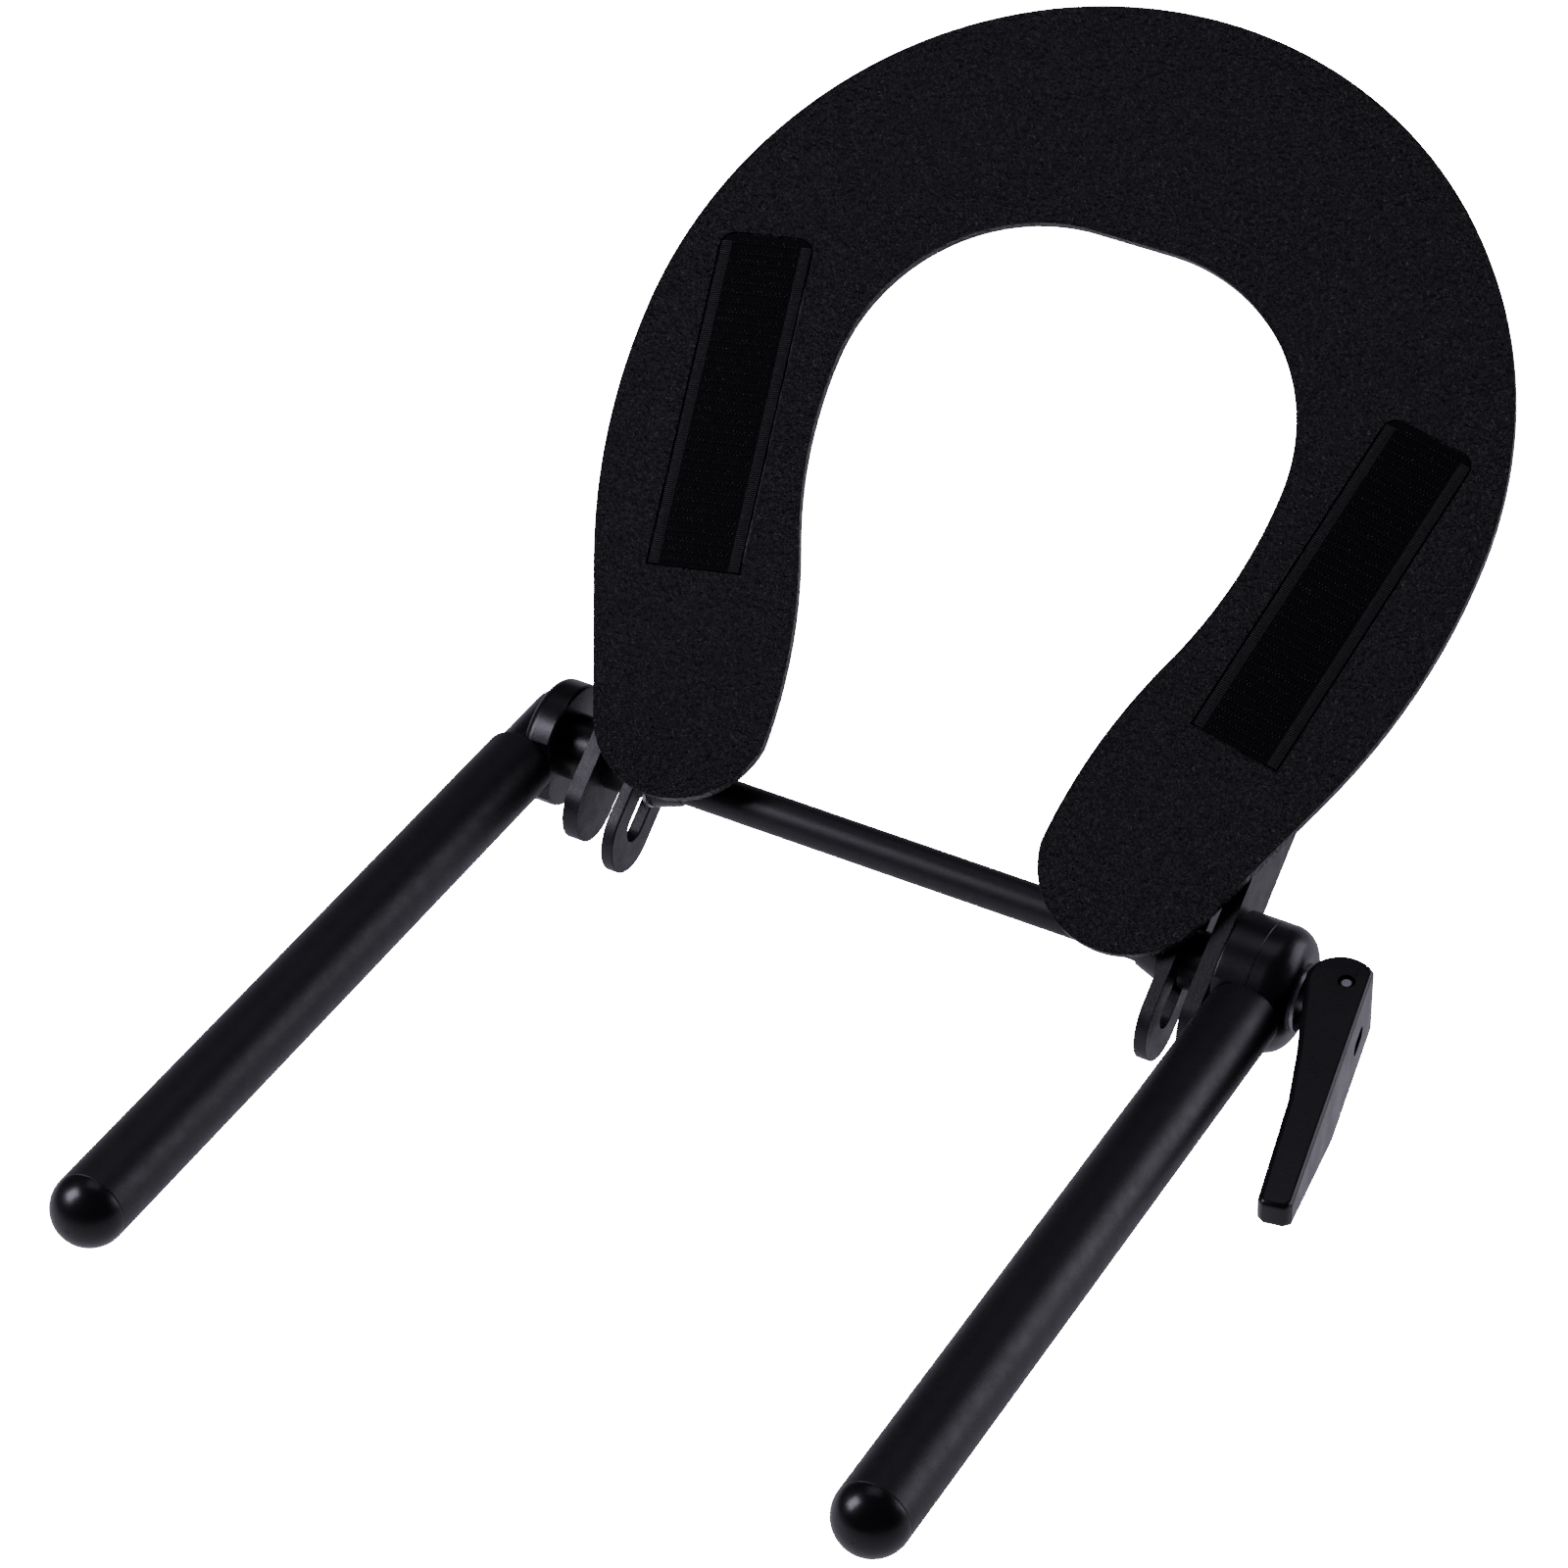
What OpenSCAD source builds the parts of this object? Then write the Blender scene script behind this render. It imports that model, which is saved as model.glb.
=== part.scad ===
// Adjustable face cradle frame for a massage table.
// Origin: on the cross rod's axis, half way between the two posts.
// +X points to the cam lever, +Y away from the table, +Z up. Millimetres.

/* [Posts] */
// Distance between the two posts' axes
post_spacing = 236; // [200:1:320]
// Outer diameter of the post tubes
post_d = 22; // [20:0.5:25]
// Wall thickness of the post tubes
post_wall = 1.5; // [1:0.1:2.5]
// Length of a post tube
post_tube_len = 230; // [150:1:300]
// Distance from the cross rod's axis to the near end of a post tube
post_start = 16; // [15:0.5:30]

/* [Knuckles] */
// Radius of a knuckle's barrel about the cross rod
knuckle_r = 19; // [16:0.5:24]
// How far a tube's side stands proud of its knuckle's inner face
tube_proud = 0.5; // [-3:0.1:0.6]
// How far a knuckle's outer face stands beyond its tube's outer side
knuckle_proud = 0.5; // [0:0.1:6]
// Radius of the rounded outer edge of the lever side's knuckle
knuckle_round = 8; // [3:0.5:9]
// How far the other knuckle's barrel stops short of its post's axis
barrel_short = 1; // [-4:0.5:3]
// How much thinner in radius a knuckle's neck is than the tube
neck_step = 1.5; // [1:0.1:3]
// Length of the plug inside the tube
plug_len = 26; // [15:1:40]

/* [Rod and clamp] */
// Diameter of the tie rod
rod_d = 8; // [6:0.5:10]
// Outer diameter of the spacer tube over the rod
spacer_tube_d = 12; // [11.5:0.5:16]
// Length of a flared bush
bush_len = 9; // [7:0.5:14]
// Outer radius of a flared bush at its wide end
bush_r = 9.5; // [8:0.5:14]
// Thickness of a friction washer
washer_t = 1; // [0.8:0.1:2]
// Outer radius of a friction washer
washer_r = 10; // [8:0.5:12]
// Thickness of the thrust washer under the cam
thrust_t = 1.2; // [0.8:0.1:2]
// Width across the flats of the lock nut
nut_af = 13; // [12:0.5:17]
// Height of the lock nut
nut_h = 8; // [6:0.5:9]

/* [Cam lever] */
// Radius of the cam head
cam_r = 10.3; // [9.5:0.1:12]
// Offset of the cam head from its pin
cam_throw = 1.5; // [0.8:0.1:2]
// Depth of the lever along its pin
lever_depth = 25; // [22:0.5:32]
// Length of the lever from its pin to its tip
lever_len = 87; // [70:1:110]
// Width of the lever's handle at its tip
lever_w = 9.8; // [8:0.1:12]
// Angle by which the closed lever leans away from the post
lever_lean = 9.5; // [0:0.5:20]
// Turn of the rod and lever about the rod's axis at rest
lever_roll = 8; // [0:1:45]
// Diameter of the cam pin
cam_pin_d = 5; // [4:0.5:6]

/* [Arms and slotted bars] */
// Angle of the arms and the plate above the horizontal
rest_angle = 38.5; // [0:0.5:60]
// Thickness of an arm
arm_t = 5; // [3:0.5:6]
// Width of an arm
arm_w = 25; // [20:0.5:28]
// Length of an arm from the rod to its plate pivot
arm_len = 130; // [115:1:160]
// How far an arm reaches below the rod before its round end
arm_tail = 14; // [0:0.5:18]
// Thickness of a slotted bar
bar_t = 4; // [3:0.5:5]
// Width of a slotted bar
bar_w = 26; // [20:0.5:27]
// Distance between the plate's two pivots
pivot_gap = 35; // [30:1:45]
// How far a slotted bar reaches below the rod before its round end
bar_tail = 19; // [16:1:30]
// Width of the slot
slot_w = 10; // [9.8:0.1:12]
// Length of the slot above the rod
slot_rise = 18; // [10:1:40]
// Gap between arm and slotted bar on the lever side
right_gap = 7; // [6:0.1:12]
// Gap between arm and slotted bar on the other side
left_gap = 10.5; // [7:0.1:14]
// Thickness of the disc between left knuckle and left arm
arm_disc_t = 8.5; // [4:0.5:12]
// Diameter of the plate's pivot pins
pivot_d = 6; // [5:0.5:8]

/* [Face plate] */
// Overall half width of the face plate
plate_half_w = 136; // [125:1:150]
// Thickness of the face plate
plate_t = 3.2; // [2.8:0.1:5]
// Height of the plate's widest line above the leg tips' centres
plate_shoulder = 115; // [105:1:130]
// Distance of the leg tips' centres from the middle
tip_x = 73; // [68:1:80]
// Radius of the leg tips
tip_r = 28; // [24:0.5:32]
// Angle at which a leg's outer side leans
leg_lean = 24; // [20:0.5:27]
// Half width of the face opening
hole_half_w = 72.3; // [66:0.1:78]
// Radius of the face opening's shoulders
hole_r = 60; // [50:1:64]
// Place of the leg tips' centres along the arms
plate_start = 18; // [14:0.5:26]
// Gap between the arms' top edges and the plate
plate_lift = 2; // [1:0.1:4]

/* [Hook strips] */
// Length of a hook strip
strip_len = 107; // [80:1:115]
// Width of a hook strip
strip_w = 29; // [20:0.5:30]
// Height of a strip's backing and hooks
strip_t = 1.8; // [1.2:0.1:3]
// Depth of the recess that holds a strip
recess_depth = 1; // [0.6:0.1:1.4]
// Lean of a strip, lower ends inwards
strip_lean = 10.9; // [0:0.1:15]
// Distance of a strip's centre from the middle
strip_x = 98.2; // [96:0.1:102]
// Place of a strip's centre above the leg tips' centres
strip_v = 93.5; // [85:0.5:100]

/* [Hinge lugs] */
// Gap on each side of a hinge lug
lug_play = 0.5; // [0.1:0.1:1.5]
// Radius of a lug round its pivots
lug_r = 9; // [7:0.5:11]
// Diameter of the lug screws
screw_d = 3; // [2.5:0.5:3.5]
// Length of the lug screws
screw_len = 10; // [8:0.5:11]

/* [Hidden] */
$fn = 64;

// Clearances
run_fit = 0.05;    // radial, a shaft that turns in a bore
press_fit = 0.02;  // radial, a pin or plug that stays in its bore
side_gap = 0.1;    // between flat faces that slide on each other
loose_fit = 0.4;   // radial, a tube or hole that doesn't guide the rod
lip = 1;           // overshoot of a cut past the face that it opens

rod_r = rod_d / 2;
post_r = post_d / 2;
post_x = post_spacing / 2;
tube_end = post_start + post_tube_len;
neck_r = post_r - neck_step;
plug_r = post_r - post_wall - press_fit;

// Places along the cross rod, from the right knuckle inwards
knuckle_in_x = post_x - post_r + tube_proud;
knuckle_out_x = post_x + post_r + knuckle_proud;
knuckle_w = knuckle_out_x - knuckle_in_x;
right_arm_x = knuckle_in_x - 2 * side_gap - washer_t - arm_t;
right_bar_x = right_arm_x - right_gap - bar_t;
right_bush_x = right_bar_x - 2 * side_gap - washer_t - bush_len;
// and from the left knuckle inwards, as the low X end of each piece
left_arm_x = -knuckle_in_x + side_gap + arm_disc_t;
left_bar_x = left_arm_x + arm_t + left_gap;
left_bush_x = left_bar_x + bar_t + 2 * side_gap + washer_t;
left_lug_x = left_arm_x + arm_t + lug_play;
left_lug_t = left_gap - 2 * lug_play;
right_lug_x = right_bar_x + bar_t + lug_play;
right_lug_t = right_gap - 2 * lug_play;

// The other knuckle holds the rod's nut in its neck, behind a flush cap
nut_r = nut_af / 2 / cos(30);
cap_r = nut_r + 0.5;
cap_x = post_x + neck_r / 3;
nut_x = cap_x - 0.3 - nut_h;

// The cam head touches the thrust washer's outer face
thrust_x = knuckle_out_x + side_gap;
cam_reach = cam_r + cam_throw * cos(lever_lean);
cam_pin_x = thrust_x + thrust_t + side_gap + cam_reach;
eye_r = cam_pin_d / 2 + 2.5;
eye_t = 10;
fork_gap = 0.3;

// Heights above the plane of the arms' centrelines
plate_under = max(arm_w, bar_w) / 2 - 0.5 + plate_lift;
plate_top = plate_under + plate_t;
bar_pivot = arm_len - pivot_gap;
recess_w = strip_w + 1;

// Points of an arc about c from angle a to angle b
function arc(c, r, a, b, n = 24) =
    [for (i = [0 : n]) let (t = a + (b - a) * i / n) [c[0] + r * cos(t), c[1] + r * sin(t)]];
// The same points, mirrored about the middle line and in reverse order
function mirrored(points) = [for (i = [len(points) - 1 : -1 : 0]) [-points[i][0], points[i][1]]];

// Outer side of a leg: a straight part that leans and touches the tip's round, then an arc that
// touches it and stands upright at the shoulder
tip_out = [tip_x + tip_r * cos(leg_lean), -tip_r * sin(leg_lean)];
side_r = (plate_half_w - tip_out[0] - (plate_shoulder - tip_out[1]) * tan(leg_lean))
    / ((1 - cos(leg_lean)) - sin(leg_lean) * tan(leg_lean));
crown_r = plate_half_w;
// Inner side of a leg: two arcs that meet with one slope
hole_top = plate_shoulder + 2;
hole_in = tip_x - tip_r;
hole_sweep = hole_top + 12;
hole_turn = 2 * atan((hole_half_w - hole_in) / hole_sweep);
upper_r = 145;
lower_r = hole_sweep / sin(hole_turn) - upper_r;
hole_foot = -12;

module at_arms() { rotate([rest_angle, 0, 0]) children(); }
module along_x(x) { translate([x, 0, 0]) rotate([0, 90, 0]) children(); }
module ring(x, t, r, bore) {
    along_x(x) difference() {
        cylinder(r = r, h = t);
        translate([0, 0, -lip]) cylinder(r = bore, h = t + 2 * lip);
    }
}

// ---- Posts ----
module post_tube(side) {
    color("#26262a") translate([side * post_x, -post_start, 0]) rotate([90, 0, 0]) difference() {
        cylinder(r = post_r, h = post_tube_len);
        translate([0, 0, -lip]) cylinder(r = post_r - post_wall, h = post_tube_len + 2 * lip);
    }
}

module end_cap(side) {
    plug_depth = 14;
    color("#1c1c20") translate([side * post_x, -tube_end, 0]) rotate([90, 0, 0]) rotate_extrude()
        union() {
            intersection() {
                circle(r = post_r);
                square([post_r, post_r]);
            }
            translate([0, -plug_depth]) square([plug_r, plug_depth]);
        }
}

// ---- Knuckles: a barrel about the cross rod, a neck and a plug ----
module knuckle_profile(w, outer_round) {
    inner_round = 1;
    inner_c = [knuckle_r - inner_round, inner_round];
    outer_c = [knuckle_r - outer_round, w - outer_round];
    union() {
        translate([0, inner_round]) square([knuckle_r, outer_c[1] - inner_round]);
        square([inner_c[0], outer_c[1]]);
        if (outer_c[0] > 0) square([outer_c[0], w]);
        intersection() {
            translate(inner_c) circle(r = inner_round);
            translate([inner_c[0], 0]) square(inner_round);
        }
        intersection() {
            translate(outer_c) circle(r = outer_round);
            translate(outer_c) square(outer_round);
        }
    }
}

// Drawn for the right side; the barrel is cut flat where the tube starts
module knuckle_body(w, outer_round) {
    difference() {
        along_x(knuckle_in_x) rotate_extrude() knuckle_profile(w, outer_round);
        translate([knuckle_in_x - lip, -post_start - knuckle_r, -knuckle_r])
            cube([w + 2 * lip, knuckle_r, 2 * knuckle_r]);
    }
    translate([post_x, 0, 0]) rotate([90, 0, 0])
        translate([0, 0, post_start - lip]) cylinder(r = plug_r, h = plug_len + lip);
}

// The neck, from the tube's end up to a round top
module knuckle_neck(top) {
    translate([post_x, 0, 0]) rotate([90, 0, 0]) {
        translate([0, 0, -top]) cylinder(r = neck_r, h = post_start + top);
        if (top > 0) translate([0, 0, -top]) sphere(r = neck_r);
    }
}
neck_top = knuckle_r - neck_r - 0.5;

module rod_bore(x, t) {
    along_x(x - lip) cylinder(r = rod_r + run_fit, h = t + 2 * lip);
}

module right_knuckle() {
    color("#161619") difference() {
        union() {
            knuckle_body(knuckle_w, knuckle_round);
            knuckle_neck(0);
        }
        rod_bore(knuckle_in_x, knuckle_w);
    }
}

module left_knuckle() {
    color("#161619") mirror([1, 0, 0]) difference() {
        union() {
            knuckle_body(post_x - barrel_short - knuckle_in_x, 3);
            knuckle_neck(neck_top);
        }
        rod_bore(knuckle_in_x, nut_x - knuckle_in_x);
        along_x(nut_x) cylinder(r = nut_r + press_fit, h = knuckle_w, $fn = 6);
        along_x(cap_x) cylinder(r = cap_r + press_fit, h = knuckle_w);
    }
}

module lock_nut() {
    color("#8a8a8e") mirror([1, 0, 0]) along_x(nut_x) difference() {
        cylinder(r = nut_r, h = nut_h, $fn = 6);
        translate([0, 0, -lip]) cylinder(r = rod_r + run_fit, h = nut_h + 2 * lip);
    }
}

module nut_cap() {
    color("#161619") mirror([1, 0, 0]) intersection() {
        along_x(cap_x) cylinder(r = cap_r, h = knuckle_w);
        knuckle_neck(neck_top);
    }
}

// ---- Cross rod ----
module spacer_tube() {
    seat = bush_len / 2;
    color("#202024") ring(left_bush_x + bush_len - seat,
        right_bush_x - left_bush_x - bush_len + 2 * seat, spacer_tube_d / 2, rod_r + loose_fit);
}

// A flared bush, wide end at x = 0 and narrow end at x = bush_len
module rod_bush() {
    seat = bush_len / 2;
    tube_r = spacer_tube_d / 2;
    rotate([0, 90, 0]) rotate_extrude() polygon([
        [rod_r + run_fit, 0], [bush_r, 0], [bush_r, 1.5], [tube_r + 0.9, bush_len],
        [tube_r + press_fit, bush_len], [tube_r + press_fit, bush_len - seat],
        [rod_r + run_fit, bush_len - seat]
    ]);
}
module left_rod_bush() { color("#161619") translate([left_bush_x, 0, 0]) rod_bush(); }
module right_rod_bush() {
    color("#161619") translate([right_bush_x + bush_len, 0, 0]) mirror([1, 0, 0]) rod_bush();
}

module left_arm_spacer() {
    color("#2a2a2e") ring(-knuckle_in_x, arm_disc_t, washer_r, rod_r + run_fit);
}
module left_bar_spacer() {
    color("#202024") ring(left_arm_x + arm_t + side_gap, left_gap - 2 * side_gap, washer_r - 1,
        rod_r + run_fit);
}
module right_bar_spacer() {
    color("#202024") ring(right_bar_x + bar_t + side_gap, right_gap - 2 * side_gap, washer_r - 1,
        rod_r + run_fit);
}
module friction_washers() {
    color("#3a3a3e") for (x = [
        left_bar_x + bar_t + side_gap,
        right_bar_x - side_gap - washer_t,
        knuckle_in_x - side_gap - washer_t
    ]) ring(x, washer_t, washer_r, rod_r + run_fit);
}
module thrust_washer() {
    color("#8a8a8e") ring(thrust_x, thrust_t, washer_r, rod_r + run_fit);
}

module at_lever() {
    translate([cam_pin_x, 0, 0]) rotate([lever_roll, 0, 0]) children();
}

module tie_rod() {
    rod_start = -nut_x - nut_h;
    color("#6a6a6e") difference() {
        union() {
            along_x(rod_start) cylinder(r = rod_r, h = cam_pin_x - rod_start);
            at_lever() translate([0, 0, -eye_t / 2]) cylinder(r = eye_r, h = eye_t);
        }
        at_lever() translate([0, 0, -eye_t]) cylinder(r = cam_pin_d / 2 + press_fit, h = 2 * eye_t);
    }
}

module cam_pin() {
    shy = 0.6;
    color("#9a9a9e") at_lever() translate([0, 0, -lever_depth / 2 + shy])
        cylinder(r = cam_pin_d / 2, h = lever_depth - 2 * shy);
}

// ---- Cam lever: drawn with its pin on Z and its handle towards -Y ----
handle_out = cam_r - cam_throw - 2.4;
handle_in = handle_out - lever_w;
module handle_outline() {
    tip_round = 2;
    root_r = cam_r - 0.1;
    polygon([
        [handle_out, 0], [handle_out, tip_round - lever_len], [handle_out - tip_round, -lever_len],
        [handle_in + tip_round, -lever_len], [handle_in, tip_round - lever_len],
        [handle_in - 1.2, -0.55 * lever_len], [handle_in - 3.4, -0.345 * lever_len],
        [-cam_throw - root_r * cos(10), -root_r * sin(10)], [-cam_throw, 0]
    ]);
}

// Side view of the handle, with the tip's bevel: X along the handle, Y along the pin
module handle_side() {
    top = lever_depth / 2;
    polygon([
        [lip, -top], [lip, top], [-lever_len - lip, top],
        [-lever_len - lip, top - 9], [-lever_len, top - 9], [47 - lever_len, -top]
    ]);
}

// Room for the rod and its eye while the lever swings, and a window in the outer face
module lever_slot() {
    rod_room = rod_r + loose_fit;
    reach = lever_w + 2 * cam_r;
    translate([0, 0, -eye_t / 2 - fork_gap]) {
        cylinder(r = eye_r + loose_fit, h = eye_t + 2 * fork_gap);
        translate([-reach, -rod_room, 0]) cube([reach + eye_r + loose_fit, reach, eye_t + 2 * fork_gap]);
    }
    for (v = [7.5, 12.5]) translate([0, -v, 0]) along_x(0) cylinder(r = 2.5, h = reach);
    translate([0, -12.5, -2.5]) cube([reach, 5, 5]);
}

module cam_lever() {
    reach = lever_w + 2 * cam_r;
    color("#1a1a1e") at_lever() rotate([0, 0, lever_lean]) difference() {
        union() {
            translate([-cam_throw, 0, -lever_depth / 2]) cylinder(r = cam_r, h = lever_depth);
            intersection() {
                translate([0, 0, -lever_depth / 2]) linear_extrude(lever_depth) handle_outline();
                translate([-reach, 0, 0]) rotate([90, 0, 90]) linear_extrude(2 * reach) handle_side();
            }
        }
        translate([handle_out, -cam_r, -lever_depth]) cube([reach, 2 * cam_r + lip, 2 * lever_depth]);
        translate([0, 0, -lever_depth]) cylinder(r = cam_pin_d / 2 + run_fit, h = 2 * lever_depth);
        lever_slot();
    }
}

// ---- Arms and slotted bars: drawn along +Y in the plane of the arms ----
module link_plate(x, t, w, low, high) {
    along_x(x) linear_extrude(t) {
        translate([-w / 2, low]) square([w, high - low]);
        translate([0, low]) circle(r = w / 2);
        translate([0, high]) circle(r = w / 2);
    }
}

module arm(x) {
    color("#1e1e22") at_arms() difference() {
        link_plate(x, arm_t, arm_w, -arm_tail, arm_len);
        rod_bore(x, arm_t);
        translate([0, arm_len, 0]) along_x(x - lip)
            cylinder(r = pivot_d / 2 + run_fit, h = arm_t + 2 * lip);
    }
}

module slotted_bar(x) {
    slot_low = bar_tail - 2;
    color("#1e1e22") at_arms() difference() {
        link_plate(x, bar_t, bar_w, -bar_tail, bar_pivot);
        link_plate(x - lip, bar_t + 2 * lip, slot_w, -slot_low, slot_rise);
        translate([0, bar_pivot, 0]) along_x(x - lip)
            cylinder(r = pivot_d / 2 + run_fit, h = bar_t + 2 * lip);
    }
}

// ---- Face plate ----
module plate_outline() {
    side_c = [plate_half_w - side_r, plate_shoulder];
    upper_c = [hole_half_w - upper_r, hole_top];
    lower_c = [hole_in + lower_r, hole_foot];
    outer = concat(
        arc([tip_x, 0], tip_r, -180, -leg_lean),
        arc(side_c, side_r, -leg_lean, 0, 12),
        arc([0, plate_shoulder], crown_r, 0, 90, 40)
    );
    inner = concat(
        arc(lower_c, lower_r, 180, 180 - hole_turn, 12),
        arc(upper_c, upper_r, -hole_turn, 0, 12),
        arc([hole_half_w - hole_r, hole_top], hole_r, 0, 90, 30)
    );
    difference() {
        polygon(concat(outer, mirrored(outer)));
        polygon(concat([[hole_in, hole_foot - tip_r]], inner,
            mirrored(concat([[hole_in, hole_foot - tip_r]], inner))));
    }
}

module at_strip(side, z) {
    mirror([side < 0 ? 1 : 0, 0, 0])
        translate([strip_x, plate_start + strip_v, z]) rotate([0, 0, -strip_lean]) children();
}

module strip_recess() {
    round_r = 5;
    linear_extrude(recess_depth + lip) {
        translate([-recess_w / 2, -strip_len / 2 - 0.5]) square([recess_w, strip_len + 1 - round_r]);
        for (s = [-1, 1]) translate([s * (recess_w / 2 - round_r), strip_len / 2 + 0.5 - round_r])
            circle(r = round_r);
        translate([round_r - recess_w / 2, strip_len / 2 + 0.5 - round_r - lip])
            square([recess_w - 2 * round_r, round_r + lip]);
    }
}

// Places of the screws along a lug
screw_places = [bar_pivot - 6, (bar_pivot + arm_len) / 2, arm_len + 6];
module at_screws(x, t) {
    for (v = screw_places) translate([x + t / 2, v, plate_top - recess_depth]) children();
}
// Sunk head of a lug screw, wider by gap and open above by a little
sink = 1.4;
module screw_head(gap) {
    grow = gap > 0 ? 0.2 : 0;
    translate([0, 0, -sink]) cylinder(r1 = screw_d / 2 + gap,
        r2 = screw_d / 2 * (2 + grow / sink) + gap, h = sink + grow);
}

module face_plate() {
    color("#232327") at_arms() difference() {
        translate([0, plate_start, plate_under]) linear_extrude(plate_t) plate_outline();
        for (side = [-1, 1]) at_strip(side, plate_top - recess_depth) strip_recess();
        for (lug = [[left_lug_x, left_lug_t], [right_lug_x, right_lug_t]]) at_screws(lug[0], lug[1]) {
            translate([0, 0, -plate_t]) cylinder(r = screw_d / 2 + press_fit, h = plate_t + lip);
            screw_head(press_fit);
        }
    }
}

module hook_strip(side) {
    round_r = 4;
    color("#101012") at_arms() at_strip(side, plate_top - recess_depth + side_gap)
        linear_extrude(strip_t) {
            translate([-strip_w / 2, -strip_len / 2]) square([strip_w, strip_len - round_r]);
            for (s = [-1, 1]) translate([s * (strip_w / 2 - round_r), strip_len / 2 - round_r])
                circle(r = round_r);
            translate([round_r - strip_w / 2, strip_len / 2 - round_r - lip])
                square([strip_w - 2 * round_r, round_r + lip]);
        }
}

// ---- Hinge lugs, pins and screws ----
module hinge_lug(x, t) {
    color("#1a1a1e") at_arms() difference() {
        union() {
            along_x(x) linear_extrude(t) {
                for (v = [bar_pivot, arm_len]) translate([0, v]) circle(r = lug_r);
                translate([-plate_under, bar_pivot - lug_r])
                    square([plate_under, arm_len - bar_pivot + 2 * lug_r]);
                translate([-lug_r, bar_pivot]) square([2 * lug_r, arm_len - bar_pivot]);
            }
        }
        for (v = [bar_pivot, arm_len]) translate([0, v, 0]) along_x(x - lip)
            cylinder(r = pivot_d / 2 + press_fit, h = t + 2 * lip);
        at_screws(x, t) translate([0, 0, -screw_len])
            cylinder(r = screw_d / 2 + press_fit, h = screw_len + lip);
    }
}

module lug_screws() {
    color("#8a8a8e") at_arms()
        for (lug = [[left_lug_x, left_lug_t], [right_lug_x, right_lug_t]]) at_screws(lug[0], lug[1]) {
            translate([0, 0, -screw_len + lip]) cylinder(r = screw_d / 2, h = screw_len - lip);
            screw_head(0);
        }
}

// A shouldered pin: head outwards of x, shank through the link and the lug
module pivot_pin(x, shank, v) {
    head_r = pivot_d;
    head_t = 2;
    at_arms() translate([0, v, 0]) along_x(x) {
        cylinder(r = pivot_d / 2, h = shank);
        translate([0, 0, -head_t]) cylinder(r = head_r, h = head_t);
    }
}
module arm_pivot_pins() {
    color("#5a5a5e") {
        pivot_pin(left_arm_x - side_gap, left_lug_x + left_lug_t - left_arm_x + side_gap, arm_len);
        mirror([1, 0, 0]) pivot_pin(-right_arm_x - arm_t - side_gap,
            right_arm_x + arm_t + side_gap - right_lug_x, arm_len);
    }
}
module bar_pivot_pins() {
    color("#5a5a5e") {
        pivot_pin(right_bar_x - side_gap, right_lug_x + right_lug_t - right_bar_x + side_gap, bar_pivot);
        mirror([1, 0, 0]) pivot_pin(-left_bar_x - bar_t - side_gap,
            left_bar_x + bar_t + side_gap - left_lug_x, bar_pivot);
    }
}

post_tube(-1);  // left_post_tube
end_cap(-1);  // left_end_cap
left_knuckle();
lock_nut();
nut_cap();
spacer_tube();
left_rod_bush();
right_rod_bush();
left_arm_spacer();
left_bar_spacer();
right_bar_spacer();
friction_washers();
post_tube(1);  // right_post_tube
end_cap(1);  // right_end_cap
right_knuckle();
thrust_washer();
tie_rod();
cam_pin();
cam_lever();
arm(left_arm_x);  // left_arm
arm(right_arm_x);  // right_arm
face_plate();
hook_strip(-1);  // left_hook_strip
hook_strip(1);  // right_hook_strip
hinge_lug(left_lug_x, left_lug_t);  // left_hinge_lug
hinge_lug(right_lug_x, right_lug_t);  // right_hinge_lug
lug_screws();
arm_pivot_pins();
bar_pivot_pins();
slotted_bar(left_bar_x);  // left_slotted_bar
slotted_bar(right_bar_x);  // right_slotted_bar
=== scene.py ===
"""Looks of an adjustable face cradle frame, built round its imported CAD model. Metres."""

from math import cos, pi, radians, sin

import bpy
from mathutils import Matrix, Vector


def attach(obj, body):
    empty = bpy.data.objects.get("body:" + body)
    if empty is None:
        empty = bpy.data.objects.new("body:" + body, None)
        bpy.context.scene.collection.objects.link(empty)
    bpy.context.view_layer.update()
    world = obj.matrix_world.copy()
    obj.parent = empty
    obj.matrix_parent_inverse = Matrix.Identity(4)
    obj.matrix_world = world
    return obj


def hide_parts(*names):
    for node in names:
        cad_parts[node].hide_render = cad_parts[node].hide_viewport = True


MM = 0.001

# Where the CAD puts things, in millimetres and degrees
ARM_TILT = 38.5
STRIP_LEAN = 10.9
STRIP_X = 98.2
STRIP_V = 111.5
STRIP_SEAT = 16.8
STRIP_LEN = 107
STRIP_W = 29
PLATE_TOP = 17.7
PLATE_UNDER = 14.5
POST_X = 118
TUBE_END = 246
LEVER_PIN_X = 142.68
LEVER_DEPTH = 25

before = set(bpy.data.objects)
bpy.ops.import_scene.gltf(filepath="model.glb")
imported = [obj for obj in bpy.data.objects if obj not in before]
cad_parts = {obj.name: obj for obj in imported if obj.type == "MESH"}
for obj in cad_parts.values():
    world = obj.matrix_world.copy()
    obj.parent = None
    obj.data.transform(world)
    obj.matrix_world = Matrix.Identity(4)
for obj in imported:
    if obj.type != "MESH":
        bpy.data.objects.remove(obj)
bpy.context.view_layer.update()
bpy.ops.object.select_all(action="DESELECT")


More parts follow.
